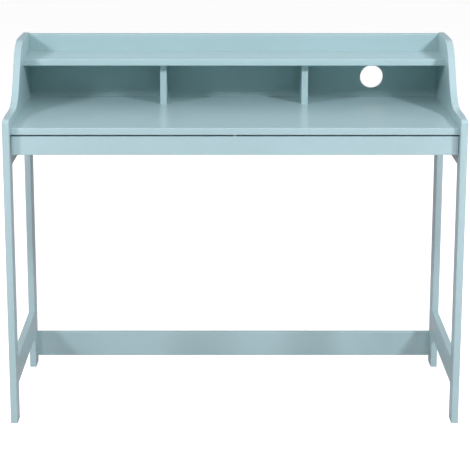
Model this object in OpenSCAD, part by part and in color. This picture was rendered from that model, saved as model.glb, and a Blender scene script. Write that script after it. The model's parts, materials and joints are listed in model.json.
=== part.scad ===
// Secretary desk: two open side frames with a curved step, a desktop with a shallow full-width
// drawer under it, and a low hutch with a shelf and three cubbies.
// X runs along the width, Y from the front (-) to the back (+), Z up.
// The origin is on the floor, in the middle of the desk.

/* [Overall] */
// Width over the two side frames
desk_w = 1100; // [800:1:1400]
// Depth from the front of the legs to the back of the legs
desk_d = 500; // [460:1:700]
// Height of the side frames at the back
desk_h = 900; // [850:1:1100]
// Thickness of every painted board
board_t = 17; // [16:0.5:22]

/* [Side frames] */
// Depth of a front leg
front_leg_d = 50; // [40:1:70]
// Depth of a back leg
back_leg_d = 60; // [45:1:80]
// Height of the side frames at the front, where the step is low
step_h = 756; // [752:1:800]
// Radius of the top corners of the legs
leg_corner_r = 12; // [4:1:20]
// Distance from the back of the desk to where the slope starts at the low step
slope_foot_setback = 309; // [290:1:330]
// Distance from the back of the desk to where the slope meets the top
slope_top_setback = 196.5; // [180:0.5:210]
// Radius of the hollow curve at the foot of the slope
hollow_curve_r = 123; // [60:1:130]
// Radius of the round curve at the top of the slope
round_curve_r = 105; // [60:1:130]
// How far the side panels reach below the desktop
side_panel_drop = 75; // [60:1:120]
// Height of the boards that tie the legs together low down
stretcher_h = 66; // [50:1:90]
// Height of the underside of the side stretchers above the floor
side_stretcher_z = 88; // [40:1:300]
// Height of the underside of the rear stretcher above the floor
rear_stretcher_z = 19; // [10:1:250]

/* [Desktop] */
// Height of the working surface
desktop_h = 733; // [700:1:760]
// How far the desktop's front edge lies behind the front of the legs
desktop_recess = 20; // [8:1:30]
// Height of the rail under the desktop at the back
rear_rail_h = 66; // [50:1:75]

/* [Hutch] */
// How far the hutch's back panel stays below the top of the side frames
hutch_drop = 3; // [0:0.5:20]
// Height of the back panel above the shelf
shelf_upstand = 45; // [20:1:50]
// Depth of the shelf in front of the back panel
shelf_d = 150; // [120:1:160]
// How far the dividers' front edges lie behind the shelf's front edge
divider_setback = 28; // [0:1:60]
// Diameter of the cable hole
cable_hole_d = 60; // [40:1:70]

/* [Drawer] */
// Height of the drawer front
drawer_front_h = 45; // [40:1:60]
// Gap between the drawer front and the desktop
drawer_front_reveal = 3.5; // [2:0.5:5]
// Gap between each end of the drawer front and the side frame
drawer_front_end_gap = 1; // [1:0.25:4]
// How far the drawer front's face lies behind the front of the legs
drawer_front_recess = 23.5; // [10:0.5:30]
// Height of the drawer sides
drawer_side_h = 32; // [30:1:40]
// Thickness of the drawer sides and back
drawer_side_t = 12; // [10:0.5:16]
// Thickness of the drawer bottom
drawer_bottom_t = 3; // [3:0.5:5]
// Height of the drawer bottom above the lower edge of the sides
drawer_bottom_lift = 6; // [4:0.5:8]
// Depth of the grooves that hold the drawer bottom
groove_depth = 5.5; // [4:0.5:7]
// Width of the batten that stiffens the drawer bottom
batten_w = 40; // [20:1:80]
// Width of the pad on the middle of the drawer front
pad_w = 6.5; // [4:0.5:20]
// Length of the pad from front to back
pad_l = 12; // [6:1:14]

/* [Drawer slides] */
// Length of the slides
slide_l = 350; // [250:10:420]
// Length of the slides that stays engaged when the drawer is open
slide_overlap = 90; // [80:5:130]
// Room for a slide between the side frame and the drawer
slide_room = 10; // [10:0.5:13]
// Height of the outer slide member
slide_h = 27; // [27:1:28]
// Thickness of the sheet steel
sheet_t = 1; // [0.8:0.1:1.2]
// Diameter of the balls
ball_d = 4; // [3.2:0.1:4.8]
// Number of balls in each row
balls_in_row = 5; // [3:1:5]

/* [Fittings] */
// Diameter of the frame and carcass dowels
dowel_d = 8; // [6:1:8]
// Length of the dowels that join the side frames
frame_dowel_l = 40; // [30:1:40]
// Length of the dowels between crossing boards
cross_dowel_l = 30; // [25:1:30]
// How far a crossing dowel or bolt enters the face of a board
face_entry = 9.5; // [8:0.5:11]
// Diameter of the drawer dowels
drawer_dowel_d = 6; // [5:1:6]
// Diameter of the cam discs
cam_d = 15; // [12:1:15]
// Height of the cam discs
cam_h = 12; // [11:0.5:12.5]
// Distance from a board's end to its cam discs
cam_inset = 34; // [24:1:40]
// Diameter of the wood screws
screw_d = 3.5; // [3:0.5:4]
// Length of the screws that hold the slides to the side frames
slide_screw_l = 13; // [10:1:14]
// Length of the screws through the back panel into the shelf
shelf_screw_l = 50; // [40:1:60]

/* [Hidden] */
$fn = 64;

// Finishes
paint = [0.71, 0.81, 0.85];
beech = [0.80, 0.66, 0.46];
hardboard = [0.55, 0.42, 0.30];
steel = [0.72, 0.73, 0.75];
zinc = [0.62, 0.63, 0.64];
felt = [0.66, 0.63, 0.57];

left = -1;
right = 1;
sides = [left, right];
cut = 1;                // how far a cutting shape runs past the face it opens
hole_clear = 0.05;      // radial clearance of dowels, screws and cams in their holes
end_clear = 0.5;        // room past the end of a dowel, a screw or a cam
running_clear = 0.3;    // clearance between pieces that move past each other

front_y = -desk_d / 2;
back_y = desk_d / 2;
inner_x = desk_w / 2 - board_t;
frame_x = desk_w / 2 - board_t / 2;
leg_joint_y = front_y + front_leg_d;
back_joint_y = back_y - back_leg_d;
back_board_y = back_y - board_t;
back_mid_y = back_y - board_t / 2;

desktop_z = desktop_h - board_t;
desktop_front_y = front_y + desktop_recess;
side_panel_z = desktop_z - side_panel_drop;
rear_rail_z = desktop_z - rear_rail_h;

hutch_top_z = desk_h - hutch_drop;
shelf_z = hutch_top_z - shelf_upstand - board_t;
cubby_h = shelf_z - desktop_h;
shelf_front_y = back_board_y - shelf_d;
divider_front_y = shelf_front_y + divider_setback;
cubby_w = (2 * inner_x - 2 * board_t) / 3;
divider_xs = [for (side = sides) side * (cubby_w + board_t) / 2];
cable_hole_x = inner_x - cubby_w / 2;
cable_hole_z = desktop_h + cubby_h / 2;

// Drawer places
drawer_front_y = front_y + drawer_front_recess;
drawer_box_y = drawer_front_y + board_t;
drawer_front_z = desktop_z - drawer_front_reveal - drawer_front_h;
drawer_mid_z = drawer_front_z + drawer_front_h / 2;
drawer_side_z = drawer_mid_z - drawer_side_h / 2;
drawer_half_w = inner_x - slide_room;
drawer_inner_x = drawer_half_w - drawer_side_t;
slide_setback = 2;      // from the back of the drawer front to the slides
drawer_side_l = slide_l + slide_setback;
drawer_end_y = drawer_box_y + drawer_side_l;
drawer_bottom_z = drawer_side_z + drawer_bottom_lift;
drawer_bottom_top_z = drawer_bottom_z + drawer_bottom_t;
groove_play = 0.2;
bottom_edge_play = 0.5;
drawer_back_h = drawer_side_z + drawer_side_h - drawer_bottom_top_z;
pad_h = drawer_front_reveal - running_clear;

// Slide section, measured from the side frame's inner face (x) and the slide's centre line (z)
slide_y = drawer_box_y + slide_setback;
outer_flange_x = slide_room - 1.5 * sheet_t;
flange_t = 1.5 * sheet_t;
race_depth = 0.5;
race_clear = 0.1;
race_r = ball_d / 2 + race_clear;
ball_z = slide_h / 2 - flange_t + race_depth - race_r;
slide_screw_head_d = 6.4;
slide_screw_head_h = 1;
cage_t = 0.6;
cage_x = sheet_t + slide_screw_head_h + 0.2;
inner_flange_x = cage_x + cage_t + running_clear;
inner_flange_top = ball_z - race_r + race_depth;
ball_x = inner_flange_x + race_r;
cage_edge_x = ball_x + race_r + 0.9;
lug_l = 3;
lug_play = 2;
drawer_travel = slide_l - slide_overlap;
cage_l = slide_overlap - 2 * (lug_l + lug_play);
cage_y = slide_y + lug_l + lug_play + drawer_travel / 2;
ball_pitch = cage_l / balls_in_row;
outer_lug_h = 6;
stop_h = 8;
stop_t = 1.5;
slide_end_screw = 37;   // from a slide's end to its first screw
slide_screw_offsets = [slide_end_screw, slide_l / 2, slide_l - slide_end_screw];

// Cam bolts
bolt_thread_r = 3;
bolt_shank_r = 3.45;
bolt_neck_r = 2;
bolt_head_r = 3.25;
bolt_hole_r = 4;
bolt_head_l = 3;

// Every joint between a side frame and a crossing board: [side, y, z, way the cam faces].
shelf_mid_z = shelf_z + board_t / 2;
desktop_mid_z = desktop_z + board_t / 2;
stretcher_mid_z = rear_stretcher_z + stretcher_h / 2;
shelf_cam_margin = 32;
panel_l = back_joint_y - leg_joint_y;
desktop_cam_ys = [leg_joint_y + 50, leg_joint_y + panel_l / 2, back_joint_y - 30];
desktop_dowel_ys = [(desktop_front_y + leg_joint_y) / 2, back_y - back_leg_d / 2 + 2];
board_third = stretcher_h / 3;
desktop_cams = [for (s = sides, y = desktop_cam_ys) [s, y, desktop_mid_z, "down"]];
shelf_cams = [
    for (s = sides, y = [shelf_front_y + shelf_cam_margin, back_board_y - shelf_cam_margin])
        [s, y, shelf_mid_z, "down"]
];
back_panel_cams = [
    for (s = sides, z = [desktop_h + cubby_h / 4, hutch_top_z - shelf_upstand / 2])
        [s, back_mid_y, z, "back"]
];
rail_cams = [for (s = sides) [s, back_mid_y, rear_rail_z + rear_rail_h / 3, "front"]];
stretcher_cams = [for (s = sides) [s, back_mid_y, rear_stretcher_z + board_third, "back"]];
all_cams = concat(desktop_cams, shelf_cams, back_panel_cams, rail_cams, stretcher_cams);

// Dowels that run along X, from a side frame into a crossing board: [side, y, z].
desktop_dowels = [for (s = sides, y = desktop_dowel_ys) [s, y, desktop_mid_z]];
shelf_dowels = [for (s = sides) [s, shelf_front_y + shelf_d / 2, shelf_mid_z]];
back_panel_dowels = [for (s = sides) [s, back_mid_y, desktop_h + 3 * cubby_h / 4]];
rail_dowels = [for (s = sides) [s, back_mid_y, rear_rail_z + 2 * rear_rail_h / 3]];
stretcher_dowels = [for (s = sides) [s, back_mid_y, rear_stretcher_z + 2 * board_third]];
all_cross_dowels = concat(
    desktop_dowels, shelf_dowels, back_panel_dowels, rail_dowels, stretcher_dowels
);

// Dowels that stand upright, from the face of a flat board into an upright one: [x, y, z, up].
divider_dowel_inset = 24;
divider_dowel_ys = [divider_front_y + divider_dowel_inset, back_board_y - divider_dowel_inset];
divider_dowels = [
    for (x = divider_xs, y = divider_dowel_ys, end = [[desktop_h, 1], [shelf_z, -1]])
        [x, y, end[0], end[1]]
];
back_foot_dowels = [for (k = [-0.75, -0.22, 0.22, 0.75]) [k * inner_x, back_mid_y, desktop_h, 1]];
rail_head_dowels = [for (k = [-0.5, 0.5]) [k * inner_x, back_mid_y, desktop_z, -1]];

// Dowels inside the side frames: [y of the joint, z]. They are the same on both sides.
low_joint_z = side_panel_z + 20;
step_joint_z = step_h - 16;             // clear above the dowel in the desktop's front corner
top_joint_z = desk_h - 25;
front_joint_zs = [low_joint_z, (side_panel_z + step_h) / 2, step_joint_z];
back_joint_gap = (top_joint_z - low_joint_z) / 3;
back_joint_zs = [for (i = [0 : 3]) low_joint_z + i * back_joint_gap];
stretcher_joint_zs = [side_stretcher_z + stretcher_h / 4, side_stretcher_z + 3 * stretcher_h / 4];
frame_joints = concat(
    [for (z = concat(front_joint_zs, stretcher_joint_zs)) [leg_joint_y, z]],
    [for (z = concat(back_joint_zs, stretcher_joint_zs)) [back_joint_y, z]]
);

shelf_screw_xs = [-0.66 * inner_x, 0, 0.66 * inner_x];
drawer_dowel_l = 30;
drawer_dowel_entry = 11;
drawer_dowel_zs = [drawer_mid_z - 2, drawer_mid_z + 10];
drawer_dowel_x = drawer_half_w - drawer_side_t / 2;
sunk_head_h = 2.2;
head_sink = sunk_head_h + 0.2;
inner_screw_entry = drawer_side_t - 1.5;
corner_screw_l = 35;
corner_screw_y = drawer_end_y - drawer_side_t / 2;
corner_screw_zs = [
    drawer_bottom_top_z + drawer_back_h / 4,
    drawer_bottom_top_z + 3 * drawer_back_h / 4
];
bottom_screw_l = 14;
bottom_screw_head_r = 3;
bottom_screw_head_h = 1.2;
bottom_screw_xs = [for (i = [-2 : 2]) i * drawer_inner_x * 0.44];

// ---------------------------------------------------------------- shared shapes

// A box from its low corner and its size.
module box(low, size) {
    translate(low) cube(size);
}

// An outline in (Y, Z), thick along X, in the side frame on one side.
module frame_board(side) {
    translate([side * frame_x - board_t / 2, 0, 0])
        rotate([90, 0, 90])
            linear_extrude(board_t) children();
}

// A cylinder along X, Y or Z from a start point.
module rod_x(start, l, r) {
    translate(start) rotate([0, 90, 0]) cylinder(h = l, r = r);
}
module rod_y(start, l, r) {
    translate(start) rotate([-90, 0, 0]) cylinder(h = l, r = r);
}
module rod_z(start, l, r) {
    translate(start) cylinder(h = l, r = r);
}

// Stands at a joint on a side frame's inner face: +X points into the crossing board.
module at_side(side, y, z) {
    translate([side * inner_x, y, z])
        mirror([side == right ? 1 : 0, 0, 0]) children();
}

// The same, turned so that +Z points the way the cam disc faces.
module at_cam(joint) {
    turn = joint[3] == "down" ? 180 : joint[3] == "back" ? -90 : 90;
    at_side(joint[0], joint[1], joint[2]) rotate([turn, 0, 0]) children();
}

// ---------------------------------------------------------------- fittings and their holes

// The bolt's thick shank ends just short of the cam disc, and its neck passes the disc's slot.
module cam_bolt() {
    shank_l = cam_inset - cam_d / 2 - end_clear;
    head_x = cam_inset - bolt_head_l;
    rod_x([-face_entry, 0, 0], face_entry, bolt_thread_r);
    rod_x([0, 0, 0], shank_l, bolt_shank_r);
    rod_x([shank_l, 0, 0], head_x - shank_l, bolt_neck_r);
    rod_x([head_x, 0, 0], bolt_head_l, bolt_head_r);
}

module cam_disc() {
    slot_w = 2 * bolt_neck_r + 0.6;
    pocket_w = 2 * bolt_head_r + 0.6;
    low = board_t / 2 - cam_h;
    difference() {
        rod_z([cam_inset, 0, low], cam_h - 0.2, cam_d / 2 - hole_clear);
        box([cam_inset - cam_d, -slot_w / 2, low - cut], [cam_d, slot_w, slot_w / 2 - low + cut]);
        box(
            [cam_inset - bolt_head_l - 0.4, -pocket_w / 2, low - cut],
            [bolt_head_l + 0.8, pocket_w, pocket_w / 2 - low + cut]
        );
        for (turn = [0, 90])
            translate([cam_inset, 0, board_t / 2])
                rotate([0, 0, turn])
                    translate([-4, -0.6, -1.6]) cube([8, 1.2, 1.6 + cut]);
    }
}

// Holes for a cam fitting in the crossing board.
module cam_holes(joints) {
    cam_depth = cam_h + end_clear;
    for (joint = joints)
        at_cam(joint) {
            rod_z([cam_inset, 0, board_t / 2 - cam_depth], cam_depth + cut, cam_d / 2);
            rod_x([-cut, 0, 0], cam_inset + cut, bolt_hole_r);
        }
}

// Holes of one radius in a side frame's inner face, for those joints that lie between two depths.
module side_holes(joints, side, y_low, y_high, r) {
    depth = face_entry + end_clear;
    for (joint = joints)
        if (joint[0] == side && joint[1] > y_low && joint[1] < y_high)
            at_side(side, joint[1], joint[2]) rod_x([-depth, 0, 0], depth + cut, r + hole_clear);
}

// Holes for the cam bolts and the crossing dowels in one board of a side frame.
module joint_holes(side, y_low, y_high) {
    side_holes(all_cams, side, y_low, y_high, bolt_thread_r);
    side_holes(all_cross_dowels, side, y_low, y_high, dowel_d / 2);
}

// Dowels along X, and their holes in the crossing board.
module cross_dowels(joints) {
    for (joint = joints)
        at_side(joint[0], joint[1], joint[2]) rod_x([-face_entry, 0, 0], cross_dowel_l, dowel_d / 2);
}
module cross_dowel_holes(joints) {
    depth = cross_dowel_l - face_entry + end_clear;
    for (joint = joints)
        at_side(joint[0], joint[1], joint[2])
            rod_x([-cut, 0, 0], depth + cut, dowel_d / 2 + hole_clear);
}

// Upright dowels, and their holes. "up" is 1 where the upright board stands above the face.
module upright_dowels(joints) {
    for (joint = joints) {
        foot = joint[3] > 0 ? -face_entry : face_entry - cross_dowel_l;
        rod_z([joint[0], joint[1], joint[2] + foot], cross_dowel_l, dowel_d / 2);
    }
}
module face_dowel_holes(joints) {
    depth = face_entry + end_clear;
    for (joint = joints)
        rod_z(
            [joint[0], joint[1], joint[2] - (joint[3] > 0 ? depth : cut)],
            depth + cut, dowel_d / 2 + hole_clear
        );
}
module upright_dowel_holes(joints) {
    depth = cross_dowel_l - face_entry + end_clear;
    for (joint = joints)
        rod_z(
            [joint[0], joint[1], joint[2] - (joint[3] > 0 ? cut : depth)],
            depth + cut, dowel_d / 2 + hole_clear
        );
}

// Dowels inside one side frame, and their holes on both sides of the joints.
module frame_joint_rods(side, l, r) {
    for (joint = frame_joints)
        rod_y([side * frame_x, joint[0] - l / 2, joint[1]], l, r);
}
module frame_joint_holes(side) {
    frame_joint_rods(side, frame_dowel_l + 2 * end_clear, dowel_d / 2 + hole_clear);
}

// Pilot holes in a side frame for the screws of the drawer slide.
module slide_pilot_holes(side) {
    for (offset = slide_screw_offsets)
        at_side(side, slide_y + offset, drawer_mid_z)
            rod_x([-slide_screw_l, 0, 0], slide_screw_l + cut, screw_d / 2 + hole_clear);
}

// ---------------------------------------------------------------- side frames

// A leg's outline: square, with one rounded top corner.
module leg_outline(y, w, h, corner_y) {
    inward = corner_y > 0 ? -1 : 1;
    edge = corner_y > 0 ? y + w : y;
    difference() {
        translate([y, 0]) square([w, h]);
        difference() {
            translate([min(edge, edge + inward * leg_corner_r), h - leg_corner_r])
                square([leg_corner_r, leg_corner_r]);
            translate([edge + inward * leg_corner_r, h - leg_corner_r]) circle(r = leg_corner_r);
        }
    }
}

module front_leg(side) {
    color(paint)
        difference() {
            frame_board(side) leg_outline(front_y, front_leg_d, step_h, -1);
            frame_joint_holes(side);
            joint_holes(side, front_y, leg_joint_y);
            slide_pilot_holes(side);
        }
}

module back_leg(side) {
    color(paint)
        difference() {
            frame_board(side) leg_outline(back_joint_y, back_leg_d, desk_h, 1);
            frame_joint_holes(side);
            joint_holes(side, back_joint_y, back_y);
        }
}

// The panel's top runs level from the front leg, up an S-curve, and level again to the back leg.
module side_panel_outline() {
    foot_y = back_y - slope_foot_setback;
    top_y = back_y - slope_top_setback;
    angle = atan2(desk_h - step_h, top_y - foot_y);
    hollow_reach = hollow_curve_r * tan(angle / 2);
    round_reach = round_curve_r * tan(angle / 2);
    along = [cos(angle), sin(angle)];
    hollow_centre = [foot_y - hollow_reach, step_h + hollow_curve_r];
    round_centre = [top_y + round_reach, desk_h - round_curve_r];
    intersection() {
        translate([leg_joint_y, side_panel_z])
            square([panel_l, desk_h - side_panel_z]);
        difference() {
            union() {
                polygon([
                    [leg_joint_y, side_panel_z],
                    [back_joint_y, side_panel_z],
                    [back_joint_y, desk_h],
                    [round_centre[0], desk_h],
                    round_centre,
                    [top_y, desk_h] - round_reach * along,
                    [foot_y, step_h] + hollow_reach * along,
                    [hollow_centre[0], step_h],
                    [leg_joint_y, step_h]
                ]);
                translate(round_centre) circle(r = round_curve_r, $fn = 128);
            }
            translate(hollow_centre) circle(r = hollow_curve_r, $fn = 128);
        }
    }
}

module side_panel(side) {
    color(paint)
        difference() {
            frame_board(side) side_panel_outline();
            frame_joint_holes(side);
            joint_holes(side, leg_joint_y, back_joint_y);
            slide_pilot_holes(side);
        }
}

module side_stretcher(side) {
    color(paint)
        difference() {
            frame_board(side)
                translate([leg_joint_y, side_stretcher_z]) square([panel_l, stretcher_h]);
            frame_joint_holes(side);
        }
}

// ---------------------------------------------------------------- crossing boards

module desktop() {
    color(paint)
        difference() {
            box(
                [-inner_x, desktop_front_y, desktop_z],
                [2 * inner_x, back_y - desktop_front_y, board_t]
            );
            cam_holes(desktop_cams);
            cross_dowel_holes(desktop_dowels);
            face_dowel_holes([for (d = divider_dowels) if (d[3] > 0) d]);
            face_dowel_holes(back_foot_dowels);
            face_dowel_holes(rail_head_dowels);
        }
}

module rear_rail() {
    color(paint)
        difference() {
            box([-inner_x, back_board_y, rear_rail_z], [2 * inner_x, board_t, rear_rail_h]);
            cam_holes(rail_cams);
            cross_dowel_holes(rail_dowels);
            upright_dowel_holes(rail_head_dowels);
        }
}

module rear_stretcher() {
    color(paint)
        difference() {
            box([-inner_x, back_board_y, rear_stretcher_z], [2 * inner_x, board_t, stretcher_h]);
            cam_holes(stretcher_cams);
            cross_dowel_holes(stretcher_dowels);
        }
}

// A hole from front to back through the back panel.
module through_hole(x, z, r) {
    rod_y([x, back_board_y - cut, z], board_t + 2 * cut, r);
}

module hutch_back_panel() {
    color(paint)
        difference() {
            box([-inner_x, back_board_y, desktop_h], [2 * inner_x, board_t, hutch_top_z - desktop_h]);
            through_hole(cable_hole_x, cable_hole_z, cable_hole_d / 2);
            cam_holes(back_panel_cams);
            cross_dowel_holes(back_panel_dowels);
            upright_dowel_holes(back_foot_dowels);
            for (x = shelf_screw_xs) {
                through_hole(x, shelf_mid_z, screw_d / 2 + hole_clear);
                rod_y([x, back_y - head_sink, shelf_mid_z], head_sink + cut, screw_d + hole_clear);
            }
        }
}

module hutch_shelf() {
    screw_tip_y = back_y - shelf_screw_l - end_clear;
    color(paint)
        difference() {
            box([-inner_x, shelf_front_y, shelf_z], [2 * inner_x, shelf_d, board_t]);
            cam_holes(shelf_cams);
            cross_dowel_holes(shelf_dowels);
            face_dowel_holes([for (d = divider_dowels) if (d[3] < 0) d]);
            for (x = shelf_screw_xs)
                rod_y([x, screw_tip_y, shelf_mid_z], shelf_screw_l, screw_d / 2 + hole_clear);
        }
}

module divider(side) {
    x = side * (cubby_w + board_t) / 2;
    color(paint)
        difference() {
            box(
                [x - board_t / 2, divider_front_y, desktop_h],
                [board_t, back_board_y - divider_front_y, cubby_h]
            );
            upright_dowel_holes([for (d = divider_dowels) if (d[0] * side > 0) d]);
        }
}

// ---------------------------------------------------------------- hidden fittings

module frame_dowels() {
    color(beech)
        for (side = sides) frame_joint_rods(side, frame_dowel_l, dowel_d / 2);
}

module carcass_dowels() {
    color(beech) {
        cross_dowels(all_cross_dowels);
        upright_dowels(rail_head_dowels);
    }
}

module hutch_dowels() {
    color(beech) {
        upright_dowels(divider_dowels);
        upright_dowels(back_foot_dowels);
    }
}

module cam_bolts() {
    color(zinc)
        for (joint = all_cams) at_cam(joint) cam_bolt();
}

module cam_discs() {
    color(zinc)
        for (joint = all_cams) at_cam(joint) cam_disc();
}

module shelf_screws() {
    color(zinc)
        for (x = shelf_screw_xs) {
            rod_y([x, back_y - shelf_screw_l, shelf_mid_z], shelf_screw_l - head_sink, screw_d / 2);
            rod_y([x, back_y - head_sink, shelf_mid_z], sunk_head_h, screw_d);
        }
}

// ---------------------------------------------------------------- drawer

module drawer_front() {
    half_w = inner_x - drawer_front_end_gap;
    color(paint)
        difference() {
            box([-half_w, drawer_front_y, drawer_front_z], [2 * half_w, board_t, drawer_front_h]);
            bottom_groove();
            drawer_dowel_holes();
        }
}

// The room for the edge of the drawer bottom, cut from the front and both sides.
module bottom_groove() {
    reach = drawer_inner_x + groove_depth;
    box(
        [-reach, drawer_box_y - groove_depth, drawer_bottom_z],
        [2 * reach, drawer_side_l + groove_depth + cut, drawer_bottom_t + groove_play]
    );
}

module drawer_dowel_rods(l, r, play) {
    for (side = sides, z = drawer_dowel_zs)
        rod_y([side * drawer_dowel_x, drawer_box_y - drawer_dowel_entry - play, z], l + 2 * play, r);
}
module drawer_dowel_holes() {
    drawer_dowel_rods(drawer_dowel_l, drawer_dowel_d / 2 + hole_clear, end_clear);
}

module drawer_side(side) {
    low_x = side == right ? drawer_inner_x : -drawer_half_w;
    color(paint)
        difference() {
            box([low_x, drawer_box_y, drawer_side_z], [drawer_side_t, drawer_side_l, drawer_side_h]);
            bottom_groove();
            drawer_dowel_holes();
            corner_screw_rods(side, end_clear, hole_clear);
            for (offset = slide_screw_offsets)
                at_side(side, slide_y + offset, drawer_mid_z)
                    rod_x([slide_room - cut, 0, 0], inner_screw_entry + cut, screw_d / 2 + hole_clear);
        }
}

// Screws sunk into the side and on into the end of the back.
module corner_screw_rods(side, play, clear) {
    for (z = corner_screw_zs)
        at_side(side, corner_screw_y, z) {
            rod_x([slide_room, 0, 0], corner_screw_l + play, screw_d / 2 + clear);
            rod_x([slide_room, 0, 0], sunk_head_h, screw_d + clear);
        }
}

module drawer_back() {
    color(paint)
        difference() {
            box(
                [-drawer_inner_x, drawer_end_y - drawer_side_t, drawer_bottom_top_z + groove_play],
                [2 * drawer_inner_x, drawer_side_t, drawer_back_h - groove_play]
            );
            for (side = sides) corner_screw_rods(side, end_clear, hole_clear);
            bottom_screw_rods(end_clear, hole_clear);
        }
}

module drawer_bottom() {
    reach = drawer_inner_x + groove_depth - bottom_edge_play;
    front = drawer_box_y - groove_depth + bottom_edge_play;
    color(hardboard)
        difference() {
            box(
                [-reach, front, drawer_bottom_z + groove_play / 2],
                [2 * reach, drawer_end_y - front, drawer_bottom_t]
            );
            bottom_screw_rods(end_clear, hole_clear);
        }
}

// Screws up through the bottom into the back.
module bottom_screw_rods(play, clear) {
    low = drawer_bottom_z + groove_play / 2;
    for (x = bottom_screw_xs)
        rod_z([x, corner_screw_y, low - play], bottom_screw_l + 2 * play, screw_d / 2 + clear);
}

module drawer_batten() {
    t = drawer_bottom_lift + groove_play / 2;
    color(beech)
        box(
            [-batten_w / 2, drawer_box_y, drawer_bottom_z + groove_play / 2 - t],
            [batten_w, drawer_end_y - drawer_side_t - drawer_box_y, t]
        );
}

module drawer_pad() {
    color(felt)
        box([-pad_w / 2, drawer_front_y + 1, drawer_front_z + drawer_front_h], [pad_w, pad_l, pad_h]);
}

module drawer_dowels() {
    color(beech) drawer_dowel_rods(drawer_dowel_l, drawer_dowel_d / 2, 0);
}

module drawer_corner_screws() {
    color(zinc)
        for (side = sides) corner_screw_rods(side, 0, 0);
}

module drawer_bottom_screws() {
    low = drawer_bottom_z + groove_play / 2;
    color(zinc) {
        bottom_screw_rods(0, 0);
        for (x = bottom_screw_xs)
            rod_z([x, corner_screw_y, low - bottom_screw_head_h], bottom_screw_head_h, bottom_screw_head_r);
    }
}

// ---------------------------------------------------------------- drawer slides

// Stands at the slide's centre line on a side frame's inner face: +X points at the drawer.
module at_slide(side) {
    at_side(side, slide_y, drawer_mid_z) children();
}

// The rows of balls run in round races cut into the flanges.
module races() {
    for (row = [-1, 1]) rod_y([ball_x, -cut, row * ball_z], slide_l + 2 * cut, race_r);
}

// Screw holes in a slide member's web, which starts at x.
module web_holes(x) {
    for (offset = slide_screw_offsets)
        rod_x([x - cut, offset, 0], sheet_t + 2 * cut, screw_d / 2 + hole_clear);
}

module slide_outer(side) {
    hollow_h = slide_h - 2 * flange_t;
    color(steel)
        at_slide(side) {
            difference() {
                box([0, 0, -slide_h / 2], [outer_flange_x, slide_l, slide_h]);
                box([sheet_t, -cut, -hollow_h / 2], [slide_room, slide_l + 2 * cut, hollow_h]);
                races();
                web_holes(0);
            }
            box([sheet_t, 0, -outer_lug_h / 2], [cage_x + cage_t - sheet_t, lug_l, outer_lug_h]);
            box([0, slide_l, -stop_h / 2], [slide_room - sheet_t / 2, stop_t, stop_h]);
        }
}

module slide_inner(side) {
    low = inner_flange_top - flange_t;
    end = slide_l - running_clear;
    color(steel)
        at_slide(side) {
            difference() {
                box(
                    [inner_flange_x, 0, -inner_flange_top],
                    [slide_room - inner_flange_x, end, 2 * inner_flange_top]
                );
                box([0, -cut, -low], [slide_room - sheet_t, slide_l + 2 * cut, 2 * low]);
                races();
                web_holes(slide_room - sheet_t);
            }
            for (row = [-1, 1])
                box(
                    [cage_x, end - lug_l, row * (low + flange_t / 2) - flange_t / 2 + row * 0.1],
                    [inner_flange_x - cage_x + 0.2, lug_l, flange_t - 0.6]
                );
        }
}

module slide_cage(side) {
    color(zinc)
        at_slide(side)
            translate([0, cage_y - slide_y, 0])
                difference() {
                    union() {
                        box([cage_x, 0, -ball_z], [cage_t, cage_l, 2 * ball_z]);
                        for (row = [-1, 1])
                            box(
                                [cage_x, 0, row * ball_z - cage_t / 2],
                                [cage_edge_x - cage_x, cage_l, cage_t]
                            );
                    }
                    ball_places() cylinder(h = 2 * ball_d, r = race_r, center = true);
                }
}

module ball_places() {
    for (row = [-1, 1], i = [0 : balls_in_row - 1])
        translate([ball_x, (i + 0.5) * ball_pitch, row * ball_z]) children();
}

module slide_balls(side) {
    color(steel)
        at_slide(side)
            translate([0, cage_y - slide_y, 0])
                ball_places() sphere(d = ball_d, $fn = 24);
}

module slide_outer_screws() {
    color(zinc)
        for (side = sides, offset = slide_screw_offsets)
            at_side(side, slide_y + offset, drawer_mid_z) {
                rod_x([end_clear - slide_screw_l, 0, 0], slide_screw_l - end_clear + sheet_t, screw_d / 2);
                rod_x([sheet_t, 0, 0], slide_screw_head_h, slide_screw_head_d / 2);
            }
}

module slide_inner_screws() {
    tip = slide_room + inner_screw_entry - end_clear;
    web = slide_room - sheet_t;
    color(zinc)
        for (side = sides, offset = slide_screw_offsets)
            at_side(side, slide_y + offset, drawer_mid_z) {
                rod_x([web, 0, 0], tip - web, screw_d / 2);
                rod_x([web - slide_screw_head_h, 0, 0], slide_screw_head_h, slide_screw_head_d / 2);
            }
}

// ---------------------------------------------------------------- the desk

front_leg(left);  // front_leg_left
front_leg(right);  // front_leg_right
back_leg(left);  // back_leg_left
back_leg(right);  // back_leg_right
side_panel(left);  // side_panel_left
side_panel(right);  // side_panel_right
side_stretcher(left);  // side_stretcher_left
side_stretcher(right);  // side_stretcher_right
desktop();
rear_rail();
rear_stretcher();
hutch_back_panel();
hutch_shelf();
divider(left);  // divider_left
divider(right);  // divider_right
frame_dowels();
carcass_dowels();
hutch_dowels();
cam_bolts();
cam_discs();
shelf_screws();
drawer_front();
drawer_side(left);  // drawer_side_left
drawer_side(right);  // drawer_side_right
drawer_back();
drawer_bottom();
drawer_batten();
drawer_pad();
drawer_dowels();
drawer_corner_screws();
drawer_bottom_screws();
slide_outer(left);  // slide_outer_left
slide_outer(right);  // slide_outer_right
slide_inner(left);  // slide_inner_left
slide_inner(right);  // slide_inner_right
slide_cage(left);  // slide_cage_left
slide_cage(right);  // slide_cage_right
slide_balls(left);  // slide_balls_left
slide_balls(right);  // slide_balls_right
slide_outer_screws();
slide_inner_screws();
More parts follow.
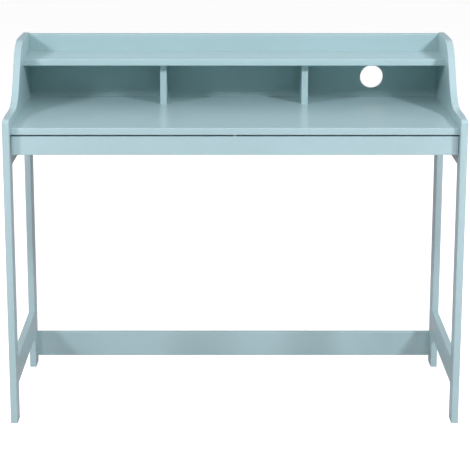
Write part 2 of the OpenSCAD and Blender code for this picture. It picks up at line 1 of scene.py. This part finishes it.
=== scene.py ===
"""Secretary desk in satin lacquer, with a shallow full-width drawer and a low hutch.

The frame holds every size and every moving piece. The boards are made here with eased edges, the
sheet metal and the fittings keep their own shapes, and every piece gets its finish from shader nodes.
"""

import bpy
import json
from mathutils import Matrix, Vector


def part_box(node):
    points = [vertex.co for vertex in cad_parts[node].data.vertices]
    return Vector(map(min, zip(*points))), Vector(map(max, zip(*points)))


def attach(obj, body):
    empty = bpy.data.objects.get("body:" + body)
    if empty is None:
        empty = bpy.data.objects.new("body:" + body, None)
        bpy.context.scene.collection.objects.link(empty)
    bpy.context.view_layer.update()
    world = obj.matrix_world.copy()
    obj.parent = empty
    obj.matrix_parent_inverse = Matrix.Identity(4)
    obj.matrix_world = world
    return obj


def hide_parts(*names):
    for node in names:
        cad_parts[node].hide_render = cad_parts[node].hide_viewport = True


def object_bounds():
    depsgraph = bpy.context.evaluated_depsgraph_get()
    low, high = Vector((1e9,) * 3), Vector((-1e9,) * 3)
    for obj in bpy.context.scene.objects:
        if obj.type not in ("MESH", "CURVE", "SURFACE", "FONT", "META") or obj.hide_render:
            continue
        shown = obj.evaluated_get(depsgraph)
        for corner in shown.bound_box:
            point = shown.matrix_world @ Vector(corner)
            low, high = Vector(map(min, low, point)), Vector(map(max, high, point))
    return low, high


bl_info = {
    "name": "Secretary desk",
    "version": (1, 0, 0),
    "blender": (4, 5, 0),
    "location": "View3D > Sidebar > Desk",
    "description": "Boards, drawer, fittings, finishes and studio for a lacquered secretary desk",
    "category": "Object",
}

import json
import math

import bmesh
import bpy
from bpy.props import FloatProperty, FloatVectorProperty, PointerProperty
from mathutils import Vector

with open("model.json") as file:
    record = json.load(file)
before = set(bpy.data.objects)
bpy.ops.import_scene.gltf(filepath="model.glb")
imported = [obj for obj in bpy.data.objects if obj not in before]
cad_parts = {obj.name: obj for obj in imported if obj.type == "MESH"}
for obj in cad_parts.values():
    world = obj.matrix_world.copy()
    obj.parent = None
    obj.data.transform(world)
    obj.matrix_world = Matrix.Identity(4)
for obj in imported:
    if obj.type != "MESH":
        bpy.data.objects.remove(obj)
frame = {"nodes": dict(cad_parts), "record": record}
CAD_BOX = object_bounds()

MM = 0.001
SIDES = ("left", "right")
TOUCH = 0.05 * MM  # two places closer than this are the same


# ------------------------------------------------------------------ sizes and colours

class DeskLacquer(bpy.types.PropertyGroup):
    """The lacquer on every board that shows, and how far its edges are eased."""

    colour: FloatVectorProperty(
        name="Colour", description="Colour of the lacquer", subtype="COLOR",
        size=3, min=0.0, max=1.0, default=(0.366, 0.548, 0.553),
    )
    roughness: FloatProperty(
        name="Roughness", description="How much the lacquer scatters reflections",
        subtype="FACTOR", min=0.05, max=1.0, default=0.34,
    )
    clear_coat: FloatProperty(
        name="Clear coat", description="Strength of the glossy top coat",
        subtype="FACTOR", min=0.0, max=1.0, default=0.22,
    )
    peel_depth: FloatProperty(
        name="Peel depth", description="Depth of the fine waviness that spraying leaves",
        subtype="DISTANCE", unit="LENGTH", min=0.0, max=0.001, default=0.000012,
    )
    ease: FloatProperty(
        name="Eased edge", description="Radius of the boards' eased edges",
        subtype="DISTANCE", unit="LENGTH", min=0.0002, max=0.004, default=0.0024,
    )


class DeskWood(bpy.types.PropertyGroup):
    """The materials that are left bare."""

    beech: FloatVectorProperty(
        name="Beech", description="Colour of the bare beech dowels and batten", subtype="COLOR",
        size=3, min=0.0, max=1.0, default=(0.59, 0.43, 0.24),
    )
    hardboard: FloatVectorProperty(
        name="Hardboard", description="Colour of the drawer's bottom", subtype="COLOR",
        size=3, min=0.0, max=1.0, default=(0.28, 0.19, 0.105),
    )
    felt: FloatVectorProperty(
        name="Felt", description="Colour of the pad on the drawer front", subtype="COLOR",
        size=3, min=0.0, max=1.0, default=(0.40, 0.38, 0.295),
    )


class DeskMetal(bpy.types.PropertyGroup):
    """The fittings and the slides."""

    zinc: FloatVectorProperty(
        name="Zinc", description="Colour of the cams, bolts and screws", subtype="COLOR",
        size=3, min=0.0, max=1.0, default=(0.53, 0.57, 0.55),
    )
    steel: FloatVectorProperty(
        name="Steel", description="Colour of the drawer slides", subtype="COLOR",
        size=3, min=0.0, max=1.0, default=(0.64, 0.69, 0.67),
    )


class DeskStudio(bpy.types.PropertyGroup):
    """The floor, the backdrop's surround and the lights."""

    floor: FloatVectorProperty(
        name="Floor", description="Colour of the studio floor", subtype="COLOR",
        size=3, min=0.0, max=1.0, default=(0.42, 0.42, 0.42),
    )
    glow: FloatProperty(
        name="Floor glow", description="Light that shines up through the floor, as on a light table",
        min=0.0, max=2.0, default=0.88,
    )
    surround: FloatProperty(
        name="Surround", description="Strength of the even white light from all round",
        min=0.0, max=2.0, default=0.20,
    )
    left_key: FloatProperty(
        name="Left key", description="Power of the light in front on the left",
        subtype="POWER", unit="POWER", min=0.0, max=500.0, default=49.0,
    )
    right_key: FloatProperty(
        name="Right key", description="Power of the light in front on the right",
        subtype="POWER", unit="POWER", min=0.0, max=500.0, default=61.0,
    )
    low_fill: FloatProperty(
        name="Low fill", description="Power of each low light, which the desktop keeps off the hutch",
        subtype="POWER", unit="POWER", min=0.0, max=500.0, default=5.6,
    )
    overhead: FloatProperty(
        name="Overhead", description="Power of each of the two large lights above",
        subtype="POWER", unit="POWER", min=0.0, max=500.0, default=12.0,
    )
    behind: FloatProperty(
        name="Behind", description="Power of each of the two lights behind",
        subtype="POWER", unit="POWER", min=0.0, max=500.0, default=42.0,
    )


# ------------------------------------------------------------------ shader maths

def join(tree, socket, value):
    """Links a value or a socket to a socket, or sets the socket to a plain number or colour."""
    if isinstance(value, Value):
        value = value.socket
    if isinstance(value, bpy.types.NodeSocket):
        tree.links.new(value, socket)
    elif socket.type == "RGBA":
        socket.default_value = (*value[:3], 1.0)
    else:
        socket.default_value = value


def socket_called(node, name):
    """A node's input, by its name in lower case with underscores."""
    for socket in node.inputs:
        if socket.enabled and socket.name.lower().replace(" ", "_") == name:
            return socket
    raise RuntimeError(f"{node.bl_idname} has no input called {name}")


def add_node(tree, kind, settings, *values, **named):
    """Adds a node of a kind: first its settings, then its inputs' values or links."""
    node = tree.nodes.new("ShaderNode" + kind)
    for name, value in settings.items():
        if name == "stops":
            set_stops(node.color_ramp, value)
        else:
            setattr(node, name, value)
    for socket, value in zip(node.inputs, values):
        join(tree, socket, value)
    for name, value in named.items():
        join(tree, socket_called(node, name), value)
    return node


def set_stops(color_ramp, stops):
    """Gives a colour ramp its stops, each a place and a colour."""
    while len(color_ramp.elements) < len(stops):
        color_ramp.elements.new(1.0)
    for element, (place, colour) in zip(color_ramp.elements, stops):
        element.position = place
        element.color = (*colour, 1.0)


class Value:
    """A number in a node tree. Arithmetic on it adds the Math nodes that work it out."""

    def __init__(self, tree, socket):
        self.tree = tree
        self.socket = socket

    def math(self, operation, first, second, clamp=False):
        settings = {"operation": operation, "use_clamp": clamp}
        return Value(self.tree, add_node(self.tree, "Math", settings, first, second).outputs[0])

    def __add__(self, other):
        return self.math("ADD", self, other)

    def __radd__(self, other):
        return self.math("ADD", other, self)

    def __sub__(self, other):
        return self.math("SUBTRACT", self, other)

    def __rsub__(self, other):
        return self.math("SUBTRACT", other, self)

    def __mul__(self, other):
        return self.math("MULTIPLY", self, other)

    def __rmul__(self, other):
        return self.math("MULTIPLY", other, self)

    def ramp(self, low, high):
        """0 below low, 1 above high and straight between."""
        return self.math("MULTIPLY", self - low, 1.0 / (high - low), clamp=True)


class Finish:
    """A material made of one Principled shader and the nodes that feed it."""

    def __init__(self, name, **constants):
        self.material = bpy.data.materials.new(name)
        self.material.use_nodes = True
        self.tree = self.material.node_tree
        self.shader = self.tree.nodes["Principled BSDF"]
        self.set(**constants)

    def set(self, **inputs):
        """Sets or links inputs of the shader, named in lower case with underscores."""
        for name, value in inputs.items():
            join(self.tree, socket_called(self.shader, name), value)

    def node(self, kind, settings, *values, **named):
        return add_node(self.tree, kind, settings, *values, **named)

    def noise(self, size, detail=2.0, roughness=0.5, stretch=(1.0, 1.0, 1.0), distortion=0.0):
        """Noise from 0 to 1 with features of a size in metres, longer along a stretched axis."""
        place = self.node("TexCoord", {}).outputs["Object"]
        scale = [1.0 / (size * part) for part in stretch]
        place = self.node("Mapping", {}, vector=place, scale=scale).outputs[0]
        noise = self.node(
            "TexNoise", {}, vector=place, scale=1.0,
            detail=detail, roughness=roughness, distortion=distortion,
        )
        return Value(self.tree, noise.outputs[0])

    def colours(self, value, stops):
        """The colour for a value, from stops of a place and a colour."""
        return self.node("ValToRGB", {"stops": stops}, value).outputs[0]

    def mix(self, factor, first, second):
        """From the first colour at 0 to the second at 1."""
        return self.node("Mix", {"data_type": "RGBA"}, factor=factor, a=first, b=second).outputs[2]

    def bump(self, *layers):
        """Raises the surface by each layer's height times its depth in metres."""
        normal = None
        for height, depth in layers:
            bump = self.node("Bump", {}, strength=1.0, distance=depth, height=height)
            if normal is not None:
                join(self.tree, bump.inputs["Normal"], normal)
            normal = bump.outputs[0]
        self.set(normal=normal)


def shade(colour, amount):
    """A colour made lighter (above 1) or darker (below 1)."""
    return tuple(min(1.0, part * amount) for part in colour)


# ------------------------------------------------------------------ finishes

BACKDROP_GLOW = 0.97    # as bright as the floor looks
BOUNCE_LIFT = 1.1       # the floor that lights the desk is this much paler than the floor's colour


def lacquer():
    """Satin lacquer on filled board: soft clouding, fine roller texture, and roughness that varies a
    little in patches.
    """
    look = bpy.context.scene.desk_lacquer
    colour = tuple(look.colour)
    finish = Finish("desk_lacquer", coat_roughness=0.14, coat_ior=1.5)
    clouds = finish.noise(0.28, detail=3.0)
    mist = finish.noise(0.016, detail=4.0, roughness=0.6)
    rub = finish.noise(0.07, detail=5.0, roughness=0.65)
    finish.set(
        base_color=finish.colours(
            clouds * 0.7 + mist * 0.3,
            [(0.30, shade(colour, 0.97)), (0.70, shade(colour, 1.03))],
        ),
        roughness=rub * 0.10 + (look.roughness - 0.05),
        coat_weight=look.clear_coat,
    )
    peel = finish.noise(0.0024, detail=2.0)
    swell = finish.noise(0.014, detail=3.0)
    finish.bump((swell, look.peel_depth * 3), (peel, look.peel_depth))
    return finish.material


def beech():
    """Bare beech: grain along the batten and the dowels' front to back, with beech's dark flecks."""
    colour = tuple(bpy.context.scene.desk_wood.beech)
    finish = Finish("desk_beech", specular_ior_level=0.35)
    grain = finish.noise(0.004, detail=5.0, roughness=0.6, stretch=(1.0, 25.0, 1.0), distortion=0.4)
    flecks = finish.noise(0.0011, detail=2.0, stretch=(1.0, 8.0, 1.0)).ramp(0.62, 0.70)
    wood = finish.colours(grain, [(0.30, shade(colour, 0.82)), (0.70, shade(colour, 1.12))])
    finish.set(
        base_color=finish.mix(flecks * 0.6, wood, shade(colour, 0.62)),
        roughness=grain * 0.2 + 0.5,
    )
    finish.bump((grain, 0.06 * MM))
    return finish.material


def hardboard():
    """Pressed hardboard: matted brown fibres, smoother where its face is glazed."""
    colour = tuple(bpy.context.scene.desk_wood.hardboard)
    finish = Finish("desk_hardboard", specular_ior_level=0.4)
    fibres = finish.noise(0.0014, detail=6.0, roughness=0.7, distortion=1.2)
    clouds = finish.noise(0.04, detail=3.0)
    finish.set(
        base_color=finish.colours(
            fibres * 0.75 + clouds * 0.25,
            [(0.32, shade(colour, 0.70)), (0.52, colour), (0.72, shade(colour, 1.35))],
        ),
        roughness=clouds * 0.25 + 0.45,
    )
    finish.bump((fibres, 0.08 * MM))
    return finish.material


def felt():
    """Grey-beige wool felt: fuzzy, matt and mottled."""
    colour = tuple(bpy.context.scene.desk_wood.felt)
    finish = Finish("desk_felt", roughness=0.95, sheen_weight=0.3)
    fuzz = finish.noise(0.0004, detail=4.0, roughness=0.7)
    finish.set(
        base_color=finish.colours(fuzz, [(0.35, shade(colour, 0.75)), (0.65, shade(colour, 1.2))]),
    )
    finish.bump((fuzz, 0.2 * MM))
    return finish.material


def zinc():
    """Zinc plate: bright, a little blue and yellow by turns, and dull in patches."""
    colour = tuple(bpy.context.scene.desk_metal.zinc)
    finish = Finish("desk_zinc", metallic=1.0)
    tint = finish.noise(0.008, detail=3.0)
    dull = finish.noise(0.002, detail=4.0, roughness=0.6)
    warm = (colour[0] * 1.06, colour[1], colour[2] * 0.86)
    cool = (colour[0] * 0.92, colour[1], colour[2] * 1.08)
    finish.set(
        base_color=finish.colours(tint, [(0.35, cool), (0.65, warm)]),
        roughness=dull * 0.22 + 0.24,
    )
    finish.bump((dull, 0.01 * MM))
    return finish.material


def slide_steel():
    """Rolled and plated sheet steel: fine lines along the slide, and smears of oil."""
    colour = tuple(bpy.context.scene.desk_metal.steel)
    finish = Finish("desk_slide_steel", metallic=1.0)
    lines = finish.noise(0.0006, detail=3.0, stretch=(1.0, 100.0, 1.0))
    smears = finish.noise(0.033, detail=4.0, roughness=0.6)
    finish.set(
        base_color=finish.colours(smears, [(0.30, shade(colour, 0.88)), (0.70, shade(colour, 1.05))]),
        roughness=lines * 0.18 + smears * 0.12 + 0.14,
    )
    finish.bump((lines, 0.008 * MM))
    return finish.material


def ball_steel():
    """Polished bearing steel under a thin smear of grease."""
    colour = tuple(bpy.context.scene.desk_metal.steel)
    finish = Finish("desk_ball_steel", metallic=1.0)
    grease = finish.noise(0.0011, detail=3.0)
    finish.set(
        base_color=finish.colours(grease, [(0.4, shade(colour, 1.15)), (0.8, shade(colour, 0.9))]),
        roughness=grease * 0.2 + 0.04,
    )
    return finish.material


def studio_floor():
    """Plain pale studio floor, faintly clouded and lit a little from below."""
    studio = bpy.context.scene.desk_studio
    colour = tuple(studio.floor)
    finish = Finish(
        "desk_studio_floor", specular_ior_level=0.1,
        emission_color=(1.0, 1.0, 1.0), emission_strength=studio.glow,
    )
    clouds = finish.noise(0.8, detail=3.0)
    finish.set(
        base_color=finish.colours(clouds, [(0.3, shade(colour, 0.995)), (0.7, colour)]),
        roughness=clouds * 0.1 + 0.8,
    )
    return finish.material


def studio_bounce():
    """The floor as the desk is lit and mirrored by it, with no glow."""
    colour = shade(tuple(bpy.context.scene.desk_studio.floor), BOUNCE_LIFT)
    finish = Finish("desk_studio_bounce", specular_ior_level=0.1)
    clouds = finish.noise(0.8, detail=3.0)
    finish.set(
        base_color=finish.colours(clouds, [(0.3, shade(colour, 0.99)), (0.7, colour)]),
        roughness=0.9,
    )
    return finish.material


def studio_backdrop():
    """White backdrop that shines as the floor does, and catches no light of its own."""
    black = (0.0, 0.0, 0.0)
    finish = Finish("desk_studio_backdrop", base_color=black, specular_ior_level=0.0, roughness=1.0)
    clouds = finish.noise(3.0, detail=2.0)
    glow = (BACKDROP_GLOW,) * 3
    finish.set(
        emission_color=finish.colours(clouds, [(0.3, shade(glow, 0.995)), (0.7, glow)]),
        emission_strength=1.0,
    )
    return finish.material


FINISHES = {
    "lacquer": lacquer,
    "beech": beech,
    "hardboard": hardboard,
    "felt": felt,
    "zinc": zinc,
    "slide_steel": slide_steel,
    "ball_steel": ball_steel,
    "studio_floor": studio_floor,
    "studio_bounce": studio_bounce,
    "studio_backdrop": studio_backdrop,
}


def finish_for(slot):
    """The material of a slot, made the first time that it is asked for."""
    return bpy.data.materials.get(f"desk_{slot}") or FINISHES[slot]()


def slot_of(node):
    """The material slot that the record gives a node."""
    for part in frame["record"]["subparts"]:
        if part["node"] == node:
            return part["material_slot"]
    raise RuntimeError(f"the record has no slot for {node}")


def body_of(node):
    """The body that a node belongs to."""
    for body, nodes in frame["record"]["behaviour"]["bodies"].items():
        if node in nodes:
            return body
    raise RuntimeError(f"no body holds {node}")


def refinish(*nodes):
    """Gives frame nodes that are shown as they are the finish of their slots."""
    for node in nodes:
        shown = frame["nodes"][node]
        shown.data.materials.clear()
        shown.data.materials.append(finish_for(slot_of(node)))


# ------------------------------------------------------------------ boards

SHARP = math.radians(30.0)   # two faces that turn more than this meet at a corner
SMALL_HOLE = 25 * MM         # a rim smaller than this belongs to a hidden hole
WAYS = {"x-": (0, 0), "x+": (0, 1), "y-": (1, 0), "y+": (1, 1), "z-": (2, 0), "z+": (2, 1)}


def sharp_groups(bm):
    """The sharp edges, in groups that hang together."""
    sharp = {
        edge for edge in bm.edges
        if len(edge.link_faces) == 2 and edge.calc_face_angle(0.0) > SHARP
    }
    while sharp:
        group, waiting = [], [sharp.pop()]
        while waiting:
            edge = waiting.pop()
            group.append(edge)
            for vertex in edge.verts:
                for other in vertex.link_edges:
                    if other in sharp:
                        sharp.remove(other)
                        waiting.append(other)
        yield group


def group_size(group):
    """The longest side of the box round a group of edges."""
    places = [vertex.co for edge in group for vertex in edge.verts]
    return max(max(p[i] for p in places) - min(p[i] for p in places) for i in range(3))


def lies_on(edge, axis, level):
    """Whether both ends of an edge lie on a plane square to an axis."""
    return all(abs(vertex.co[axis] - level) < TOUCH for vertex in edge.verts)


def lies_in(place, box):
    """Whether a place is in a box (low corner, high corner), or on its surface."""
    low, high = box
    return all(low[i] - TOUCH < place[i] < high[i] + TOUCH for i in range(3))


def outer_edges(bm, low, high, butts, curved, seams):
    """The edges to ease: those of the board's outline that meet no other board.

    butts are the sides that stand against another board, such as "x-". A curved board also eases
    the edges that lie on just one of its flat sides. seams are boxes (low corner, high corner)
    round the places where a flush neighbour is glued on.
    """
    corners = (low, high)
    hole = min(SMALL_HOLE, max(high - low) / 2)
    chosen = []
    for group in sharp_groups(bm):
        if group_size(group) < hole:
            continue
        for edge in group:
            on = [
                way for way, (axis, end) in WAYS.items()
                if lies_on(edge, axis, corners[end][axis])
            ]
            if len(on) < (1 if curved else 2) or any(way in butts for way in on):
                continue
            middle = (edge.verts[0].co + edge.verts[1].co) / 2
            if not any(lies_in(middle, seam) for seam in seams):
                chosen.append(edge)
    return chosen


SAME_PLANE = math.radians(0.3)    # triangles that turn less than this are one flat face
EASE_SEGMENTS = 4


def board(node, butts=(), curved=False, seams=(), ease=None):
    """A frame board with its outer edges eased, in place of the sharp one."""
    if ease is None:
        ease = bpy.context.scene.desk_lacquer.ease
    low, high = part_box(node)
    bm = bmesh.new()
    bm.from_mesh(frame["nodes"][node].data)
    bmesh.ops.remove_doubles(bm, verts=bm.verts, dist=TOUCH / 10)
    bmesh.ops.dissolve_limit(
        bm, angle_limit=SAME_PLANE, use_dissolve_boundaries=False,
        verts=bm.verts, edges=bm.edges, delimit={"NORMAL"},
    )
    for seam_low, seam_high in seams:
        for level in (seam_low[2], seam_high[2]):
            if low[2] + ease < level < high[2] - ease:
                everything = [*bm.verts, *bm.edges, *bm.faces]
                bmesh.ops.bisect_plane(
                    bm, geom=everything, dist=TOUCH / 10, plane_co=(0, 0, level), plane_no=(0, 0, 1),
                )
    edges = outer_edges(bm, low, high, butts, curved, seams)
    if not edges:
        raise RuntimeError(f"{node} has no edge to ease")
    bmesh.ops.bevel(
        bm, geom=edges, offset=ease, offset_type="OFFSET", segments=EASE_SEGMENTS, profile=0.5,
        affect="EDGES", clamp_overlap=True, material=-1,
    )
    piece(bm, node)


def piece(bm, node):
    """Makes an object of a bmesh in place of a frame node: it rides on its body and has its finish."""
    bmesh.ops.triangulate(bm, faces=bm.faces, quad_method="BEAUTY", ngon_method="BEAUTY")
    for face in bm.faces:
        face.smooth = True
    for edge in bm.edges:
        edge.smooth = len(edge.link_faces) == 2 and edge.calc_face_angle(0.0) < SHARP
    mesh = bpy.data.meshes.new(node + "_board")
    bm.to_mesh(mesh)
    bm.free()
    made = bpy.data.objects.new(node + "_board", mesh)
    bpy.context.scene.collection.objects.link(made)
    normals = made.modifiers.new("flat_faces", "WEIGHTED_NORMAL")
    normals.mode = "FACE_AREA"
    normals.weight = 50
    normals.keep_sharp = True
    slot = slot_of(node)
    mesh.materials.append(finish_for(slot))
    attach(made, body_of(node))
    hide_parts(node)


def seam_between(first, second):
    """The box in which two frame nodes touch."""
    a_low, a_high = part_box(first)
    b_low, b_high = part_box(second)
    low = Vector([max(a_low[i], b_low[i]) for i in range(3)])
    high = Vector([min(a_high[i], b_high[i]) for i in range(3)])
    return low, high


# ------------------------------------------------------------------ operators

class DESK_OT_side_frames(bpy.types.Operator):
    """Make the legs, the curved side panels and the low stretchers, glued up flush."""

    bl_idname = "desk.side_frames"
    bl_label = "Side frames"
    bl_options = {"REGISTER", "UNDO"}

    def execute(self, context):
        for side in SIDES:
            panel = f"side_panel_{side}"
            stretcher = f"side_stretcher_{side}"
            legs = (f"front_leg_{side}", f"back_leg_{side}")
            for leg in legs:
                seams = [seam_between(leg, panel), seam_between(leg, stretcher)]
                board(leg, butts=("z-",), curved=True, seams=seams)
            board(panel, curved=True, seams=[seam_between(panel, leg) for leg in legs])
            board(stretcher, butts=("y-", "y+"))
        return {"FINISHED"}


class DESK_OT_carcass(bpy.types.Operator):
    """Make the desktop, and the rail and stretcher at the back."""

    bl_idname = "desk.carcass"
    bl_label = "Desktop and rails"
    bl_options = {"REGISTER", "UNDO"}

    def execute(self, context):
        board("desktop", butts=("x-", "x+"))
        board("rear_rail", butts=("x-", "x+", "z+"))
        board("rear_stretcher", butts=("x-", "x+"))
        return {"FINISHED"}


class DESK_OT_hutch(bpy.types.Operator):
    """Make the hutch: its back panel with the cable hole, its shelf and its dividers."""

    bl_idname = "desk.hutch"
    bl_label = "Hutch"
    bl_options = {"REGISTER", "UNDO"}

    def execute(self, context):
        board("hutch_back_panel", butts=("x-", "x+", "z-"), curved=True)
        board("hutch_shelf", butts=("x-", "x+", "y+"))
        for side in SIDES:
            board(f"divider_{side}", butts=("z-", "z+", "y+"))
        return {"FINISHED"}


DRAWER_FRONT_EASE = 1.0 * MM
DRAWER_BOX_EASE = 0.8 * MM
PAD_EASE = 0.4 * MM


class DESK_OT_drawer(bpy.types.Operator):
    """Make the drawer: its front, its box, the bottom with its batten, and the pad."""

    bl_idname = "desk.drawer"
    bl_label = "Drawer"
    bl_options = {"REGISTER", "UNDO"}

    def execute(self, context):
        board("drawer_front", ease=DRAWER_FRONT_EASE)
        for side in SIDES:
            board(f"drawer_side_{side}", butts=("y-",), ease=DRAWER_BOX_EASE)
        board("drawer_back", butts=("x-", "x+"), ease=DRAWER_BOX_EASE)
        board("drawer_batten", butts=("z+", "y-", "y+"), ease=DRAWER_BOX_EASE)
        board("drawer_pad", butts=("z-",), curved=True, ease=PAD_EASE)
        refinish("drawer_bottom")
        return {"FINISHED"}


class DESK_OT_slides(bpy.types.Operator):
    """Finish the drawer slides, their cages and their balls."""

    bl_idname = "desk.slides"
    bl_label = "Drawer slides"
    bl_options = {"REGISTER", "UNDO"}

    def execute(self, context):
        for side in SIDES:
            refinish(
                f"slide_outer_{side}", f"slide_inner_{side}", f"slide_cage_{side}", f"slide_balls_{side}",
            )
        return {"FINISHED"}


class DESK_OT_fittings(bpy.types.Operator):
    """Finish the dowels, cam fittings and screws."""

    bl_idname = "desk.fittings"
    bl_label = "Fittings"
    bl_options = {"REGISTER", "UNDO"}

    def execute(self, context):
        refinish("frame_dowels", "carcass_dowels", "hutch_dowels", "drawer_dowels")
        refinish("cam_bolts", "cam_discs", "shelf_screws")
        refinish("drawer_corner_screws", "drawer_bottom_screws")
        refinish("slide_outer_screws", "slide_inner_screws")
        return {"FINISHED"}


# ------------------------------------------------------------------ studio

STUDIO_RADIUS = 9.0
FLOOR_GAP = 2 * MM           # from the floor that is seen down to the one that lights the desk
LAMP_WHITE = (1.095, 1.0, 1.09)
KEY_LEFT = Vector((-1.76, -2.01, 1.36))     # from the top of the desk's left side to its light
KEY_RIGHT = Vector((1.39, -2.16, 1.54))     # and the same on the right
KEY_SIZE = 0.45
CARCASS_MIDDLE = (0.0, 0.0, 0.45)
LEGS_MIDDLE = (0.0, 0.0, 0.35)
# The other lights: a name, the place, the spot that it points at, the size and the power's setting.
# The low fills stand so far aside that the drawer front doesn't mirror them to the camera.
SOFT_LIGHTS = (
    ("low_fill_left", (-1.15, -2.15, 0.2), LEGS_MIDDLE, 0.4, "low_fill"),
    ("low_fill_right", (1.15, -2.15, 0.2), LEGS_MIDDLE, 0.4, "low_fill"),
    ("overhead", (0.0, 0.0, 3.0), CARCASS_MIDDLE, 2.5, "overhead"),
    ("overhead_front", (0.0, -1.85, 3.2), CARCASS_MIDDLE, 2.4, "overhead"),
    ("behind_left", (-2.4, 2.45, 2.6), CARCASS_MIDDLE, 2.8, "behind"),
    ("behind_right", (2.4, 2.45, 2.6), CARCASS_MIDDLE, 2.8, "behind"),
)
CAMERA_DISTANCE = 4.042      # from the front of the legs
CAMERA_HEIGHT = 1.485
CAMERA_ASIDE = -0.0275       # to the left of the desk's middle
CAMERA_TILT = math.radians(14.0)
CAMERA_LENS = 133.3
CAMERA_SHIFT = 0.0249


def softbox(name, place, aim, size, power):
    """A square area light that points at a spot."""
    light = bpy.data.lights.new(name, "AREA")
    light.shape = "SQUARE"
    light.size = size
    light.energy = power
    light.color = LAMP_WHITE
    made = bpy.data.objects.new(name, light)
    made.location = place
    made.rotation_euler = (Vector(aim) - Vector(place)).to_track_quat("-Z", "Y").to_euler()
    bpy.context.scene.collection.objects.link(made)


def staged(bm, name):
    """Makes a stage object of a bmesh, with the finish of its name."""
    mesh = bpy.data.meshes.new(name)
    bm.to_mesh(mesh)
    bm.free()
    mesh.materials.append(finish_for(name))
    made = bpy.data.objects.new(name, mesh)
    bpy.context.scene.collection.objects.link(made)
    return made


class DESK_OT_stage(bpy.types.Operator):
    """Make the pale floor, the soft lights and the camera."""

    bl_idname = "desk.stage"
    bl_label = "Studio"
    bl_options = {"REGISTER", "UNDO"}

    def execute(self, context):
        scene = context.scene
        studio = scene.desk_studio
        scene.view_settings.view_transform = "Standard"
        self.floor("studio_bounce", -FLOOR_GAP).visible_camera = False
        for seen in (self.floor("studio_floor", 0.0), self.backdrop("studio_backdrop")):
            seen.visible_diffuse = False
            seen.visible_glossy = False
            seen.visible_shadow = False
        self.surround(scene, studio.surround)
        low, high = CAD_BOX
        left, right = Vector((low.x, 0.0, high.z)), Vector((high.x, 0.0, high.z))
        softbox("left_key", left + KEY_LEFT, left, KEY_SIZE, studio.left_key)
        softbox("right_key", right + KEY_RIGHT, right, KEY_SIZE, studio.right_key)
        for name, place, aim, size, setting in SOFT_LIGHTS:
            softbox(name, place, aim, size, getattr(studio, setting))
        self.camera(scene, low)
        return {"FINISHED"}

    def floor(self, name, height):
        """A flat floor at a height."""
        bm = bmesh.new()
        bmesh.ops.create_grid(bm, x_segments=8, y_segments=8, size=STUDIO_RADIUS)
        bmesh.ops.translate(bm, vec=(0.0, 0.0, height), verts=bm.verts)
        return staged(bm, name)

    def backdrop(self, name):
        """A dome over the floor, seen from inside."""
        bm = bmesh.new()
        bmesh.ops.create_uvsphere(bm, u_segments=48, v_segments=24, radius=STUDIO_RADIUS)
        bmesh.ops.bisect_plane(
            bm, geom=[*bm.verts, *bm.edges, *bm.faces], dist=TOUCH,
            plane_co=(0, 0, -FLOOR_GAP), plane_no=(0, 0, 1), clear_inner=True,
        )
        bmesh.ops.reverse_faces(bm, faces=bm.faces)
        return staged(bm, name)

    def surround(self, scene, strength):
        """Even white light from all round."""
        world = bpy.data.worlds.new("studio_surround")
        world.use_nodes = True
        background = world.node_tree.nodes["Background"]
        background.inputs["Color"].default_value = (1.0, 1.0, 1.0, 1.0)
        background.inputs["Strength"].default_value = strength
        scene.world = world

    def camera(self, scene, low):
        """A long lens a little above the desk, in front of its middle."""
        data = bpy.data.cameras.new("studio_camera")
        data.lens = CAMERA_LENS
        data.shift_x = CAMERA_SHIFT
        camera = bpy.data.objects.new("studio_camera", data)
        camera.location = (CAMERA_ASIDE, low.y - CAMERA_DISTANCE, CAMERA_HEIGHT)
        camera.rotation_euler = (math.pi / 2 - CAMERA_TILT, 0.0, 0.0)
        scene.collection.objects.link(camera)
        scene.camera = camera


class DESK_PT_panel(bpy.types.Panel):
    """Lists the desk's sizes, colours and operators in the sidebar."""

    bl_idname = "DESK_PT_panel"
    bl_label = "Secretary desk"
    bl_space_type = "VIEW_3D"
    bl_region_type = "UI"
    bl_category = "Desk"

    def draw(self, context):
        for group in GROUPS:
            settings = getattr(context.scene, group)
            for name in type(settings).__annotations__:
                self.layout.prop(settings, name)
        for operator in OPERATORS:
            self.layout.operator(operator.bl_idname)


GROUPS = {
    "desk_lacquer": DeskLacquer,
    "desk_wood": DeskWood,
    "desk_metal": DeskMetal,
    "desk_studio": DeskStudio,
}
OPERATORS = (
    DESK_OT_side_frames,
    DESK_OT_carcass,
    DESK_OT_hutch,
    DESK_OT_drawer,
    DESK_OT_slides,
    DESK_OT_fittings,
    DESK_OT_stage,
)


def register():
    for cls in (*GROUPS.values(), *OPERATORS, DESK_PT_panel):
        bpy.utils.register_class(cls)
    for name, cls in GROUPS.items():
        setattr(bpy.types.Scene, name, PointerProperty(type=cls))


def unregister():
    for name in GROUPS:
        delattr(bpy.types.Scene, name)
    for cls in reversed((*GROUPS.values(), *OPERATORS, DESK_PT_panel)):
        bpy.utils.unregister_class(cls)


def main():
    """Builds the desk and its studio."""
    register()
    for operator in OPERATORS:
        group, name = operator.bl_idname.split(".")
        getattr(getattr(bpy.ops, group), name)()


if __name__ == "__main__":
    main()
